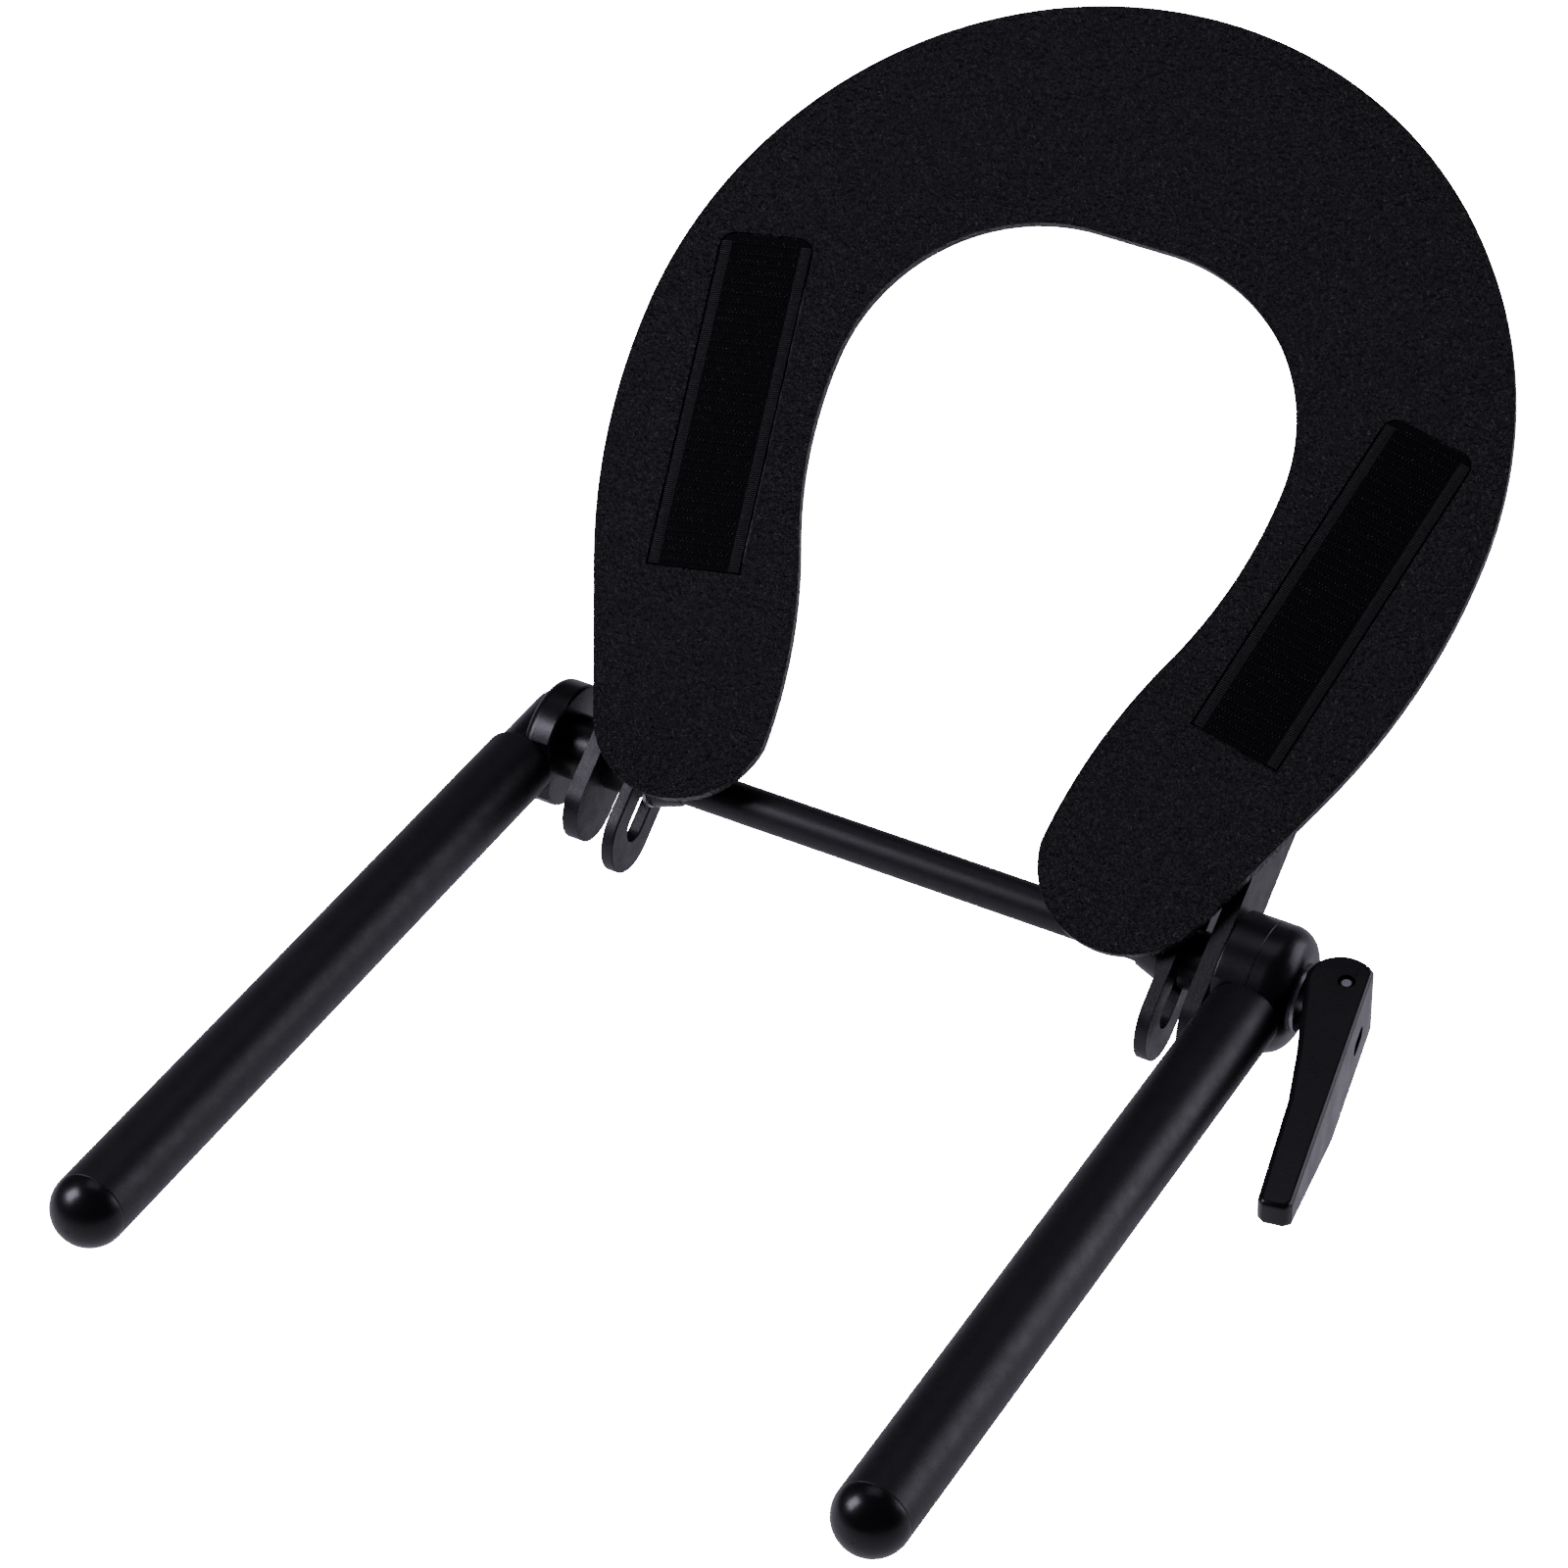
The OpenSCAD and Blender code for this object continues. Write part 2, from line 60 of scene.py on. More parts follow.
# ---- Materials ----
class Finish:
    """A material with one Principled shader, and short ways to add nodes to it."""

    def __init__(self, name, colour, roughness, metallic=0.0, specular=0.5, coat=0.0):
        self.material = bpy.data.materials.new(name)
        self.material.use_nodes = True
        self.nodes = self.material.node_tree.nodes
        self.links = self.material.node_tree.links
        self.shader = self.nodes["Principled BSDF"]
        self.shader.inputs["Base Color"].default_value = (*colour, 1)
        self.shader.inputs["Roughness"].default_value = roughness
        self.shader.inputs["Metallic"].default_value = metallic
        self.shader.inputs["Specular IOR Level"].default_value = specular
        self.shader.inputs["Coat Weight"].default_value = coat
        self.place = self.nodes.new("ShaderNodeTexCoord").outputs["Object"]
        self.normal = None

    def stretched(self, scale, turn=(0, 0, 0)):
        mapping = self.nodes.new("ShaderNodeMapping")
        mapping.inputs["Scale"].default_value = scale
        mapping.inputs["Rotation"].default_value = turn
        self.links.new(self.place, mapping.inputs["Vector"])
        return mapping.outputs["Vector"]

    def noise(self, scale, detail=2.0, roughness=0.5, place=None):
        noise = self.nodes.new("ShaderNodeTexNoise")
        noise.inputs["Scale"].default_value = scale
        noise.inputs["Detail"].default_value = detail
        noise.inputs["Roughness"].default_value = roughness
        self.links.new(place or self.place, noise.inputs["Vector"])
        return noise.outputs["Fac"]

    def cells(self, scale, feature="F1", place=None):
        cells = self.nodes.new("ShaderNodeTexVoronoi")
        cells.feature = feature
        cells.inputs["Scale"].default_value = scale
        self.links.new(place or self.place, cells.inputs["Vector"])
        return cells.outputs["Distance"]

    def spread(self, value, low, high, to_low, to_high):
        ranged = self.nodes.new("ShaderNodeMapRange")
        for socket, number in zip(ranged.inputs[1:5], (low, high, to_low, to_high)):
            socket.default_value = number
        self.links.new(value, ranged.inputs["Value"])
        return ranged.outputs["Result"]

    def maths(self, operation, first, second=None):
        node = self.nodes.new("ShaderNodeMath")
        node.operation = operation
        for socket, value in zip(node.inputs, (first, second)):
            if value is None:
                continue
            if isinstance(value, (int, float)):
                socket.default_value = value
            else:
                self.links.new(value, socket)
        return node.outputs[0]

    def along(self, axis):
        split = self.nodes.new("ShaderNodeSeparateXYZ")
        self.links.new(self.place, split.inputs[0])
        return split.outputs[axis]

    def tint(self, value, low_colour, high_colour):
        ramp = self.nodes.new("ShaderNodeValToRGB")
        ramp.color_ramp.elements[0].color = (*low_colour, 1)
        ramp.color_ramp.elements[1].color = (*high_colour, 1)
        self.links.new(value, ramp.inputs["Fac"])
        self.links.new(ramp.outputs["Color"], self.shader.inputs["Base Color"])

    def vary_roughness(self, value):
        self.links.new(value, self.shader.inputs["Roughness"])

    def bump(self, height, depth, strength=1.0):
        bump = self.nodes.new("ShaderNodeBump")
        bump.inputs["Distance"].default_value = depth
        bump.inputs["Strength"].default_value = strength
        self.links.new(height, bump.inputs["Height"])
        if self.normal:
            self.links.new(self.normal, bump.inputs["Normal"])
        self.normal = bump.outputs["Normal"]
        self.links.new(self.normal, self.shader.inputs["Normal"])

    def groove(self, axis, at, width, depth):
        """A fine line cut round the piece where |axis| is at."""
        from_middle = self.maths("ABSOLUTE", self.along(axis))
        away = self.maths("ABSOLUTE", self.maths("SUBTRACT", from_middle, at))
        self.bump(self.spread(away, 0, width, 0, 1), depth)


def powder_coat():
    finish = Finish("satin powder coat", (0.006, 0.006, 0.008), 0.36, specular=0.45)
    finish.tint(finish.noise(60, 3), (0.005, 0.005, 0.007), (0.008, 0.008, 0.010))
    finish.vary_roughness(finish.spread(finish.noise(220, 3), 0.3, 0.7, 0.42, 0.5))
    finish.bump(finish.noise(1800, 2), 0.00003)
    return finish.material


def bar_paint():
    finish = Finish("bar paint", (0.008, 0.008, 0.010), 0.42, specular=0.45)
    finish.tint(finish.noise(45, 3), (0.006, 0.006, 0.008), (0.011, 0.011, 0.014))
    finish.vary_roughness(finish.spread(finish.noise(150, 4), 0.3, 0.7, 0.36, 0.5))
    finish.bump(finish.noise(1300, 2), 0.00004)
    return finish.material


def moulded(name, groove=None):
    finish = Finish(name, (0.004, 0.004, 0.005), 0.3, specular=0.4)
    finish.tint(finish.noise(40, 2), (0.003, 0.003, 0.004), (0.006, 0.006, 0.008))
    finish.vary_roughness(finish.spread(finish.noise(90, 4), 0.3, 0.7, 0.25, 0.36))
    finish.bump(finish.noise(700, 3), 0.00002)
    if groove:
        finish.groove(*groove)
    return finish.material


def plate_grain():
    finish = Finish("pebble grained plastic", (0.007, 0.007, 0.009), 0.42, specular=0.45)
    pebbles = finish.noise(800, 3, 0.6)
    # The pebble height also sets the colour: painted shade in the valleys between the pebbles and
    # painted light on their tops.
    lit_tops_shaded_valleys = finish.spread(pebbles, 0.35, 0.65, 0, 1)
    finish.tint(lit_tops_shaded_valleys, (0.002, 0.002, 0.003), (0.011, 0.011, 0.014))
    finish.vary_roughness(finish.spread(pebbles, 0.35, 0.65, 0.36, 0.24))
    finish.bump(finish.cells(700, "SMOOTH_F1"), 0.0018)
    finish.bump(pebbles, 0.0026)
    return finish.material


def plate_edge():
    finish = Finish("smooth plate edge", (0.008, 0.008, 0.010), 0.3, specular=0.5)
    finish.tint(finish.noise(60, 2), (0.007, 0.007, 0.009), (0.010, 0.010, 0.013))
    finish.vary_roughness(finish.spread(finish.noise(120, 3), 0.3, 0.7, 0.26, 0.36))
    finish.bump(finish.noise(900, 2), 0.00002)
    return finish.material


def woven_tape():
    finish = Finish("woven tape", (0.002, 0.002, 0.003), 0.8, specular=0.08)
    weave = finish.noise(1600, 2, place=finish.stretched((1, 2.2, 1)))
    finish.tint(weave, (0.0015, 0.0015, 0.002), (0.004, 0.004, 0.005))
    finish.vary_roughness(finish.spread(weave, 0.3, 0.7, 0.65, 0.85))
    finish.bump(weave, 0.00015)
    return finish.material


def selvedge_thread():
    finish = Finish("selvedge thread", (0.004, 0.004, 0.006), 0.45, specular=0.35)
    strand = finish.noise(2600, 2)
    finish.tint(strand, (0.002, 0.002, 0.003), (0.007, 0.007, 0.010))
    finish.vary_roughness(finish.spread(strand, 0.3, 0.7, 0.38, 0.55))
    finish.bump(strand, 0.00008)
    return finish.material


def hook_nylon():
    finish = Finish("hook nylon", (0.003, 0.003, 0.004), 0.22, specular=0.8)
    finish.tint(finish.noise(500, 1), (0.001, 0.001, 0.0015), (0.005, 0.005, 0.006))
    finish.vary_roughness(finish.spread(finish.noise(800, 1), 0.3, 0.7, 0.14, 0.3))
    return finish.material


def zinc_plate():
    finish = Finish("zinc plated steel", (0.45, 0.45, 0.47), 0.35, metallic=1.0)
    streaks = finish.noise(900, 3, place=finish.stretched((0.15, 1, 1)))
    finish.tint(streaks, (0.34, 0.34, 0.36), (0.56, 0.56, 0.58))
    finish.vary_roughness(finish.spread(streaks, 0.3, 0.7, 0.28, 0.45))
    finish.bump(streaks, 0.00002)
    return finish.material


# Near-black steel for the pin's chamfers only: a dark ring round the pin's bright end face.
def dark_ring_steel():
    finish = Finish("near-black chamfer steel", (0.03, 0.03, 0.034), 0.4, metallic=1.0)
    finish.tint(finish.noise(800, 2), (0.02, 0.02, 0.023), (0.05, 0.05, 0.055))
    finish.vary_roughness(finish.spread(finish.noise(500, 2), 0.3, 0.7, 0.34, 0.5))
    finish.bump(finish.noise(1500, 2), 0.00002)
    return finish.material


def clear_glue():
    finish = Finish("glue bead", (0.02, 0.02, 0.024), 0.2)
    finish.tint(finish.noise(300, 2), (0.012, 0.012, 0.015), (0.04, 0.04, 0.045))
    finish.vary_roughness(finish.spread(finish.noise(200, 2), 0.3, 0.7, 0.15, 0.35))
    finish.bump(finish.noise(600, 3), 0.00015)
    return finish.material


POWDER = powder_coat()
BAR = bar_paint()
MOULDED = moulded("moulded black plastic")
KNUCKLE = moulded("moulded knuckle with parting line", (0, POST_X * MM, 0.0002, 0.0002))
CAP = moulded("moulded end cap", (1, TUBE_END * MM, 0.00025, 0.0003))
GRAIN = plate_grain()
EDGE = plate_edge()
TAPE = woven_tape()
THREAD = selvedge_thread()
NYLON = hook_nylon()
ZINC = zinc_plate()
DARK_RING_STEEL = dark_ring_steel()
GLUE = clear_glue()

CAD_FINISH = {
    "left_post_tube": POWDER, "right_post_tube": POWDER, "spacer_tube": POWDER,
    "left_end_cap": CAP, "right_end_cap": CAP,
    "left_knuckle": KNUCKLE, "right_knuckle": KNUCKLE, "nut_cap": MOULDED,
    "left_rod_bush": MOULDED, "right_rod_bush": MOULDED, "cam_lever": MOULDED,
    "left_arm_spacer": MOULDED, "left_bar_spacer": MOULDED, "right_bar_spacer": MOULDED,
    "left_arm": BAR, "right_arm": BAR, "left_slotted_bar": BAR, "right_slotted_bar": BAR,
    "left_hinge_lug": MOULDED, "right_hinge_lug": MOULDED, "face_plate": GRAIN,
    "left_hook_strip": TAPE, "right_hook_strip": TAPE,
}
for name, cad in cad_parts.items():
    cad.data.materials.clear()
    cad.data.materials.append(CAD_FINISH.get(name, ZINC))


# ---- Ways of working ----
def only(piece):
    bpy.ops.object.select_all(action="DESELECT")
    piece.select_set(True)
    bpy.context.view_layer.objects.active = piece


def named(name, material):
    """The object just added, named, with its place put into its mesh."""
    piece = bpy.context.object
    only(piece)
    bpy.ops.object.transform_apply(location=True, rotation=True, scale=True)
    piece.name = name
    piece.data.name = name
    piece.data.materials.clear()
    piece.data.materials.append(material)
    return piece


def select_edges(piece, wanted):
    """Selects the edges for which wanted(first, second, crease) holds; crease is in degrees."""
    mesh = piece.data
    faces = {}
    for polygon in mesh.polygons:
        for key in polygon.edge_keys:
            faces.setdefault(key, []).append(polygon.normal)
    for vertex in mesh.vertices:
        vertex.select = False
    for polygon in mesh.polygons:
        polygon.select = False
    for edge in mesh.edges:
        normals = faces.get(tuple(sorted(edge.vertices)), [])
        crease = 0.0
        if len(normals) == 2:
            crease = normals[0].angle(normals[1], 0.0) * 180 / pi
        first, second = (mesh.vertices[i].co for i in edge.vertices)
        edge.select = bool(wanted(first, second, crease))


def bevel(piece, wanted, width, segments=3, material=-1):
    only(piece)
    bpy.ops.object.mode_set(mode="EDIT")
    bpy.ops.mesh.select_mode(type="EDGE")
    bpy.ops.mesh.select_all(action="DESELECT")
    bpy.ops.object.mode_set(mode="OBJECT")
    select_edges(piece, wanted)
    bpy.ops.object.mode_set(mode="EDIT")
    bpy.ops.mesh.bevel(offset=width, segments=segments, profile=0.5, clamp_overlap=True,
                       material=material)
    bpy.ops.object.mode_set(mode="OBJECT")


def smooth(piece, angle=35, flat=()):
    """Smooth shading, flat on wide faces and on those that face along a flat direction."""
    only(piece)
    bpy.ops.object.shade_smooth_by_angle(angle=radians(angle))
    for polygon in piece.data.polygons:
        if any(abs(polygon.normal.dot(direction)) > 0.9998 for direction in flat):
            polygon.use_smooth = False
    weighted = piece.modifiers.new("wide faces first", "WEIGHTED_NORMAL")
    weighted.keep_sharp = True
    weighted.weight = 100
    bpy.ops.object.modifier_apply(modifier=weighted.name)


def worked_from(node, name, material):
    """A clean copy of a CAD node's shape, ready to have its edges worked."""
    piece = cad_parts[node].copy()
    piece.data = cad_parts[node].data.copy()
    bpy.context.scene.collection.objects.link(piece)
    piece.parent = None
    for key in list(piece.keys()):
        del piece[key]
    only(piece)
    bpy.ops.object.mode_set(mode="EDIT")
    bpy.ops.mesh.select_all(action="SELECT")
    bpy.ops.mesh.remove_doubles(threshold=0.00001)
    bpy.ops.mesh.dissolve_limited(angle_limit=radians(0.4))
    bpy.ops.object.mode_set(mode="OBJECT")
    if piece.data.has_custom_normals:
        bpy.ops.mesh.customdata_custom_splitnormals_clear()
    piece.name = name
    piece.data.name = name
    piece.data.materials.clear()
    piece.data.materials.append(material)
    return piece


def eased(node, name, material, width, body, segments=3, angle=30, flat=()):
    """A CAD node's shape with every sharp edge eased."""
    piece = worked_from(node, name, material)
    bevel(piece, lambda a, b, crease: crease > angle, width, segments)
    smooth(piece, 35, flat)
    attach(piece, body)
    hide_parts(node)
    return piece


def in_arm_plane(point):
    """X, distance along the arms and height above their centre plane, in millimetres."""
    tilt = radians(ARM_TILT)
    y, z = point.y / MM, point.z / MM
    return point.x / MM, y * cos(tilt) + z * sin(tilt), z * cos(tilt) - y * sin(tilt)


def strip_frame(side):
    """Turns a place on a hook strip, X across and Y along it, into the row's frame."""
    place = Matrix.Rotation(radians(ARM_TILT), 4, "X")
    place @= Matrix.Translation(Vector((side * STRIP_X, STRIP_V, STRIP_SEAT)) * MM)
    place @= Matrix.Rotation(radians(-side * STRIP_LEAN), 4, "Z")
    return place


def on_strip(point):
    """Whether a point of the plate lies in either strip's recess, on its rim or under it."""
    x, along, up = in_arm_plane(point)
    lean = radians(-STRIP_LEAN)
    dx, dv = abs(x) - STRIP_X, along - STRIP_V
    across = dx * cos(lean) + dv * sin(lean)
    down = -dx * sin(lean) + dv * cos(lean)
    return abs(across) < STRIP_W / 2 + 0.8 and abs(down) < STRIP_LEN / 2 + 0.8


ACROSS = Vector((1, 0, 0))
PLATE_NORMAL = Vector((0, -sin(radians(ARM_TILT)), cos(radians(ARM_TILT))))
LEVER_ROLL, LEVER_LEAN = radians(8), radians(9.5)
PIN_AXIS = Vector((0, -sin(LEVER_ROLL), cos(LEVER_ROLL)))
LEVER_SIDE = Vector((
    cos(LEVER_LEAN), sin(LEVER_LEAN) * cos(LEVER_ROLL), sin(LEVER_LEAN) * sin(LEVER_ROLL)))


# ---- Face plate ----
def make_plate():
    plate = worked_from("face_plate", "face_plate_moulding", GRAIN)
    plate.data.materials.append(EDGE)

    def level(a, b, height):
        return all(abs(in_arm_plane(p)[2] - height) < 0.05 for p in (a, b))

    def rim(a, b, crease):
        on_face = level(a, b, PLATE_TOP) or level(a, b, PLATE_UNDER)
        return crease > 30 and on_face and not (on_strip(a) and on_strip(b))

    def recess_rim(a, b, crease):
        return crease > 30 and level(a, b, PLATE_TOP) and on_strip(a) and on_strip(b)

    bevel(plate, rim, 0.9 * MM, 4, material=1)
    bevel(plate, recess_rim, 0.3 * MM, 2, material=1)
    smooth(plate, 40, [PLATE_NORMAL])
    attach(plate, "plate")
    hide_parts("face_plate")


# ---- Hook strips ----
TAPE_THICK = 0.6
RIB_R, RIB_LEN, RIB_PITCH, RIB_COUNT = 0.26, 3.4, 0.66, 158
HOOK_R, HOOK_FOOT, HOOK_STEM, HOOK_BEND = 0.11, 0.5, 0.62, 0.3
HOOKS_ACROSS, HOOKS_ALONG = 18, 33
HOOK_PITCH_ACROSS, HOOK_PITCH_ALONG = 1.16, 1.6


def make_tape():
    bpy.ops.mesh.primitive_cube_add(size=1, location=(0, 0, TAPE_THICK / 2 * MM))
    bpy.context.object.scale = (STRIP_W * MM, STRIP_LEN * MM, TAPE_THICK * MM)
    tape = named("backing_tape", TAPE)
    top = STRIP_LEN / 2 * MM
    bevel(tape, lambda a, b, crease: min(a.y, b.y) > top - 1e-6 and abs(a.z - b.z) > 1e-5, 4 * MM, 8)
    bevel(tape, lambda a, b, crease: crease > 60 and min(a.z, b.z) > 0.5 * MM, 0.15 * MM, 2)
    smooth(tape)
    return tape


def make_rib():
    bpy.ops.mesh.primitive_cylinder_add(
        vertices=8, radius=RIB_R * MM, depth=RIB_LEN * MM, rotation=(0, pi / 2, 0))
    rib = named("selvedge_rib", THREAD)
    bevel(rib, lambda a, b, crease: crease > 60, 0.1 * MM, 1)
    return rib


def repeat(piece, count, step):
    only(piece)
    array = piece.modifiers.new("repeat", "ARRAY")
    array.use_relative_offset = False
    array.use_constant_offset = True
    array.constant_offset_displace = step
    array.count = count
    bpy.ops.object.modifier_apply(modifier=array.name)


def make_selvedge(edge):
    rib = make_rib()
    across = edge * (STRIP_W / 2 - 1.8)
    rib.data.transform(Matrix.Translation(Vector((across, 0.6 - STRIP_LEN / 2, 0.62)) * MM))
    repeat(rib, RIB_COUNT, (0, RIB_PITCH * MM, 0))
    smooth(rib, 60)
    return rib


def make_hook(lean):
    """One bent nylon hook: a stem, an arch over to one side and a short point down."""
    bpy.ops.mesh.primitive_circle_add(
        vertices=5, radius=HOOK_R * MM, fill_type="NGON", location=(0, 0, HOOK_FOOT * MM))
    hook = named("hook", NYLON)
    only(hook)
    bpy.ops.object.mode_set(mode="EDIT")
    bpy.ops.mesh.select_mode(type="EDGE")
    bpy.ops.mesh.select_all(action="SELECT")
    bpy.ops.mesh.extrude_region_move(TRANSFORM_OT_translate={"value": (0, 0, HOOK_STEM * MM)})
    centre = (0, lean * HOOK_BEND * MM, (HOOK_FOOT + HOOK_STEM) * MM)
    bpy.ops.mesh.spin(steps=4, angle=radians(200) * lean, center=centre, axis=(-1, 0, 0))
    bpy.ops.mesh.select_all(action="SELECT")
    bpy.ops.mesh.normals_make_consistent(inside=False)
    bpy.ops.object.mode_set(mode="OBJECT")
    smooth(hook, 70)
    return hook


def make_hooks():
    """Hooks in rows across the tape, each second row bent the other way and set half a step on."""
    across, along = HOOK_PITCH_ACROSS * MM, HOOK_PITCH_ALONG * MM
    rows = []
    for n, lean in enumerate((1, -1)):
        hook = make_hook(lean)
        start = Vector((-10.4 * MM + n * across / 2, (-STRIP_LEN / 2 + 1.2) * MM + n * along, 0))
        hook.data.transform(Matrix.Translation(start))
        repeat(hook, HOOKS_ACROSS, (across, 0, 0))
        repeat(hook, HOOKS_ALONG, (0, 2 * along, 0))
        rows.append(hook)
    joined = join(rows, "hook_field")
    cloud = bpy.data.textures.new("hook unevenness", "CLOUDS")
    cloud.noise_scale = 0.0016
    sway = joined.modifiers.new("sway", "DISPLACE")
    sway.texture = cloud
    sway.direction = "RGB_TO_XYZ"
    sway.strength = 0.35 * MM
    only(joined)
    bpy.ops.object.modifier_apply(modifier=sway.name)
    return joined


def join(pieces, name):
    bpy.ops.object.select_all(action="DESELECT")
    for piece in pieces:
        piece.select_set(True)
    bpy.context.view_layer.objects.active = pieces[0]
    bpy.ops.object.join()
    pieces[0].name = name
    pieces[0].data.name = name
    return pieces[0]


def make_strip(side, word):
    place = strip_frame(side)
    tape = make_tape()
    tape.name = f"{word}_backing_tape"
    selvedges = join([make_selvedge(-1), make_selvedge(1)], f"{word}_selvedges")
    hooks = make_hooks()
    hooks.name = f"{word}_hooks"
    for piece in (tape, selvedges, hooks):
        piece.data.transform(place)
        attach(piece, "plate")
    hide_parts(f"{word}_hook_strip")


def make_glue_bead():
    """The line of set glue beside the left strip's inner edge."""
    bpy.ops.mesh.primitive_cylinder_add(
        vertices=10, radius=0.45 * MM, depth=88 * MM, rotation=(pi / 2, 0, 0))
    bead = named("glue_bead", GLUE)
    only(bead)
    bpy.ops.object.mode_set(mode="EDIT")
    bpy.ops.mesh.select_all(action="SELECT")
    bpy.ops.mesh.subdivide(number_cuts=24)
    bpy.ops.object.mode_set(mode="OBJECT")
    cloud = bpy.data.textures.new("bead unevenness", "CLOUDS")
    cloud.noise_scale = 0.006
    sway = bead.modifiers.new("sway", "DISPLACE")
    sway.texture = cloud
    sway.strength = 0.5 * MM
    bpy.ops.object.modifier_apply(modifier=sway.name)
    smooth(bead, 60)
    bead.data.transform(Matrix.Translation(((STRIP_W / 2 + 0.7) * MM, -6 * MM, 0.55 * MM)))
    bead.data.transform(strip_frame(-1))
    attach(bead, "plate")


# ---- Lever and its pin ----
def in_lever(point):
    """Place from the lever's pin in millimetres: outwards, towards the head, along the pin."""
    from_pin = (point - Vector((LEVER_PIN_X * MM, 0, 0))) / MM
    to_head = PIN_AXIS.cross(LEVER_SIDE)
    return from_pin.dot(LEVER_SIDE), from_pin.dot(to_head), from_pin.dot(PIN_AXIS)


def make_lever():
    lever = worked_from("cam_lever", "lever_handle", MOULDED)

    def outline(a, b, crease):
        places = [in_lever(p) for p in (a, b)]
        on_handle = all(head < -30 for _, head, _ in places)
        on_head = all(abs(abs(deep) - LEVER_DEPTH / 2) < 0.2 and out * out + head * head > 16
                      for out, head, deep in places)
        return crease > 60 and (on_handle or on_head)

    bevel(lever, outline, 1.7 * MM, 5)
    bevel(lever, lambda a, b, crease: crease > 60, 0.35 * MM, 2)
    smooth(lever, 50, [PIN_AXIS, LEVER_SIDE])
    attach(lever, "cam_lever")
    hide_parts("cam_lever")


def make_lever_pin():
    """The pin through the lever, with its ends chamfered down to a small bright face; the chamfers
    are near-black steel, a dark ring round it.
    """
    pin = worked_from("cam_pin", "lever_pin", ZINC)
    pin.data.materials.append(DARK_RING_STEEL)
    bevel(pin, lambda a, b, crease: crease > 60, 1.1 * MM, 3, material=1)
    smooth(pin, 40)
    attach(pin, "clamp_rod")
    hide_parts("cam_pin")


# ---- Arms, bars and the rest ----
make_plate()
for side, word in ((-1, "left"), (1, "right")):
    make_strip(side, word)
    eased(f"{word}_arm", f"{word}_arm_bar", BAR, 0.7 * MM, "arms", flat=[ACROSS])
    eased(f"{word}_slotted_bar", f"{word}_slotted_plate", BAR, 0.6 * MM, "slotted_bars",
          flat=[ACROSS])
    eased(f"{word}_hinge_lug", f"{word}_lug", MOULDED, 0.5 * MM, "plate")
    eased(f"{word}_post_tube", f"{word}_tube", POWDER, 0.35 * MM, f"{word}_post")
    eased(f"{word}_knuckle", f"{word}_knuckle_moulding", KNUCKLE, 0.5 * MM, f"{word}_post")
make_glue_bead()
make_lever()
make_lever_pin()


# ---- Floor, light and camera ----
STUDIO_WIDTH = 8
FLOOR_Z = -0.22
STUDIO_TINT = (0.88, 0.84, 1.0)


def make_stage():
    bpy.ops.mesh.primitive_plane_add(size=STUDIO_WIDTH, location=(0, 0, FLOOR_Z))
    floor = named("floor", MOULDED)
    paint = Finish("pale floor", (0.93, 0.93, 0.93), 0.9, specular=0.1)
    paint.tint(paint.noise(3, 1), (0.925, 0.925, 0.925), (0.935, 0.935, 0.935))
    paint.shader.inputs["Emission Color"].default_value = (1, 1, 1, 1)
    paint.shader.inputs["Emission Strength"].default_value = 30
    floor.data.materials[0] = paint.material
    floor.visible_diffuse = False
    floor.visible_glossy = False
    make_card("floor_card", (0, 0, FLOOR_Z + 0.005), (0, 0, 0), (STUDIO_WIDTH, STUDIO_WIDTH))
    make_card("backdrop_card", (0, 2.5, 0.15), (pi / 2, 0, 0), (STUDIO_WIDTH, 0.7))


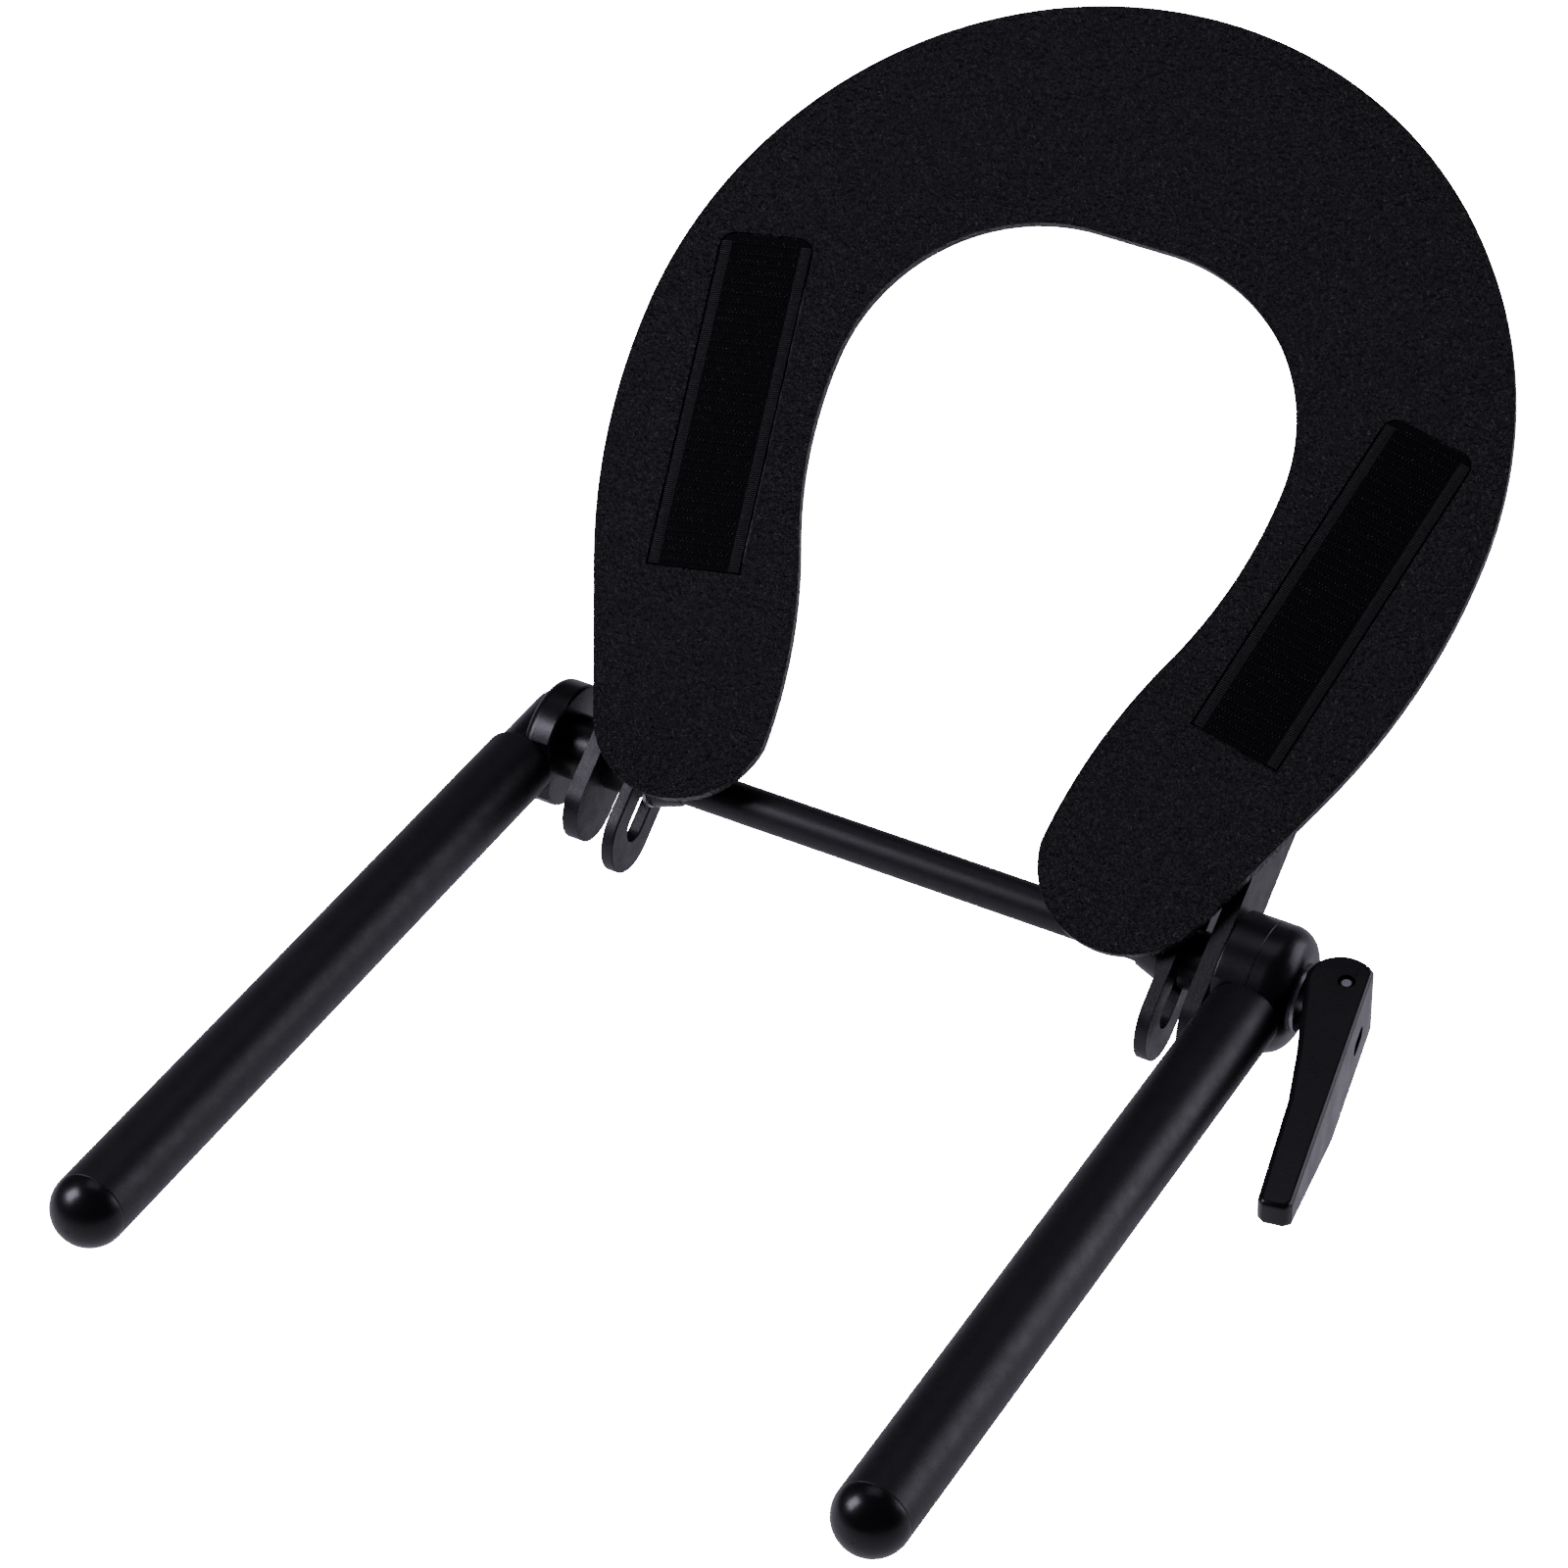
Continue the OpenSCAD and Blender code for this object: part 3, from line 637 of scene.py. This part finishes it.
def make_card(name, place, turn, size):
    """A softly glowing card that only shows as a reflection."""
    bpy.ops.mesh.primitive_plane_add(size=1, location=place, rotation=turn)
    bpy.context.object.scale = (*size, 1)
    card = named(name, MOULDED)
    glow = Finish("reflector card", (0.8, 0.8, 0.8), 0.9, specular=0.1)
    glow.tint(glow.noise(3, 1), (0.79, 0.79, 0.79), (0.81, 0.81, 0.81))
    glow.shader.inputs["Emission Color"].default_value = (*STUDIO_TINT, 1)
    glow.shader.inputs["Emission Strength"].default_value = 0.3
    card.data.materials[0] = glow.material
    card.visible_camera = False
    card.visible_diffuse = False


def softbox(name, place, target, width, height, power):
    light = bpy.data.lights.new(name, "AREA")
    light.shape = "RECTANGLE"
    light.size, light.size_y = width, height
    light.energy = power
    light.color = STUDIO_TINT
    lamp = bpy.data.objects.new(name, light)
    bpy.context.scene.collection.objects.link(lamp)
    lamp.location = place
    lamp.visible_camera = False
    lamp.rotation_euler = (Vector(target) - Vector(place)).to_track_quat("-Z", "Y").to_euler()


def make_lights():
    softbox("overhead softbox", (-0.2, 0.5, 1.7), (0, -0.05, 0), 1.0, 0.8, 2)
    softbox("left softbox", (-0.75, -0.6, 0.75), (0, 0.08, 0.08), 0.45, 0.6, 9)
    softbox("right softbox", (1.15, 1.0, 0.45), (0, -0.1, 0), 1.0, 0.9, 8)
    world = bpy.data.worlds.new("studio white")
    world.use_nodes = True
    backdrop = world.node_tree.nodes["Background"]
    backdrop.inputs["Color"].default_value = (*STUDIO_TINT, 1)
    backdrop.inputs["Strength"].default_value = 0.06
    bpy.context.scene.world = world


def make_camera():
    turn = Matrix((
        (0.88421, 0.46599, 0.032034),
        (0.303787, -0.521624, -0.797259),
        (-0.354805, 0.714676, -0.602787),
    ))
    lens = bpy.data.cameras.new("camera")
    lens.lens = 127.66
    lens.sensor_width = 36
    lens.clip_start = 0.05
    camera = bpy.data.objects.new("camera", lens)
    bpy.context.scene.collection.objects.link(camera)
    axes = Matrix((turn[0], -turn[1], -turn[2])).transposed()
    camera.matrix_world = Matrix.Translation((0.54149, -1.16623, 0.99600)) @ axes.to_4x4()
    bpy.context.scene.camera = camera


make_stage()
make_lights()
make_camera()

bpy.context.view_layer.update()
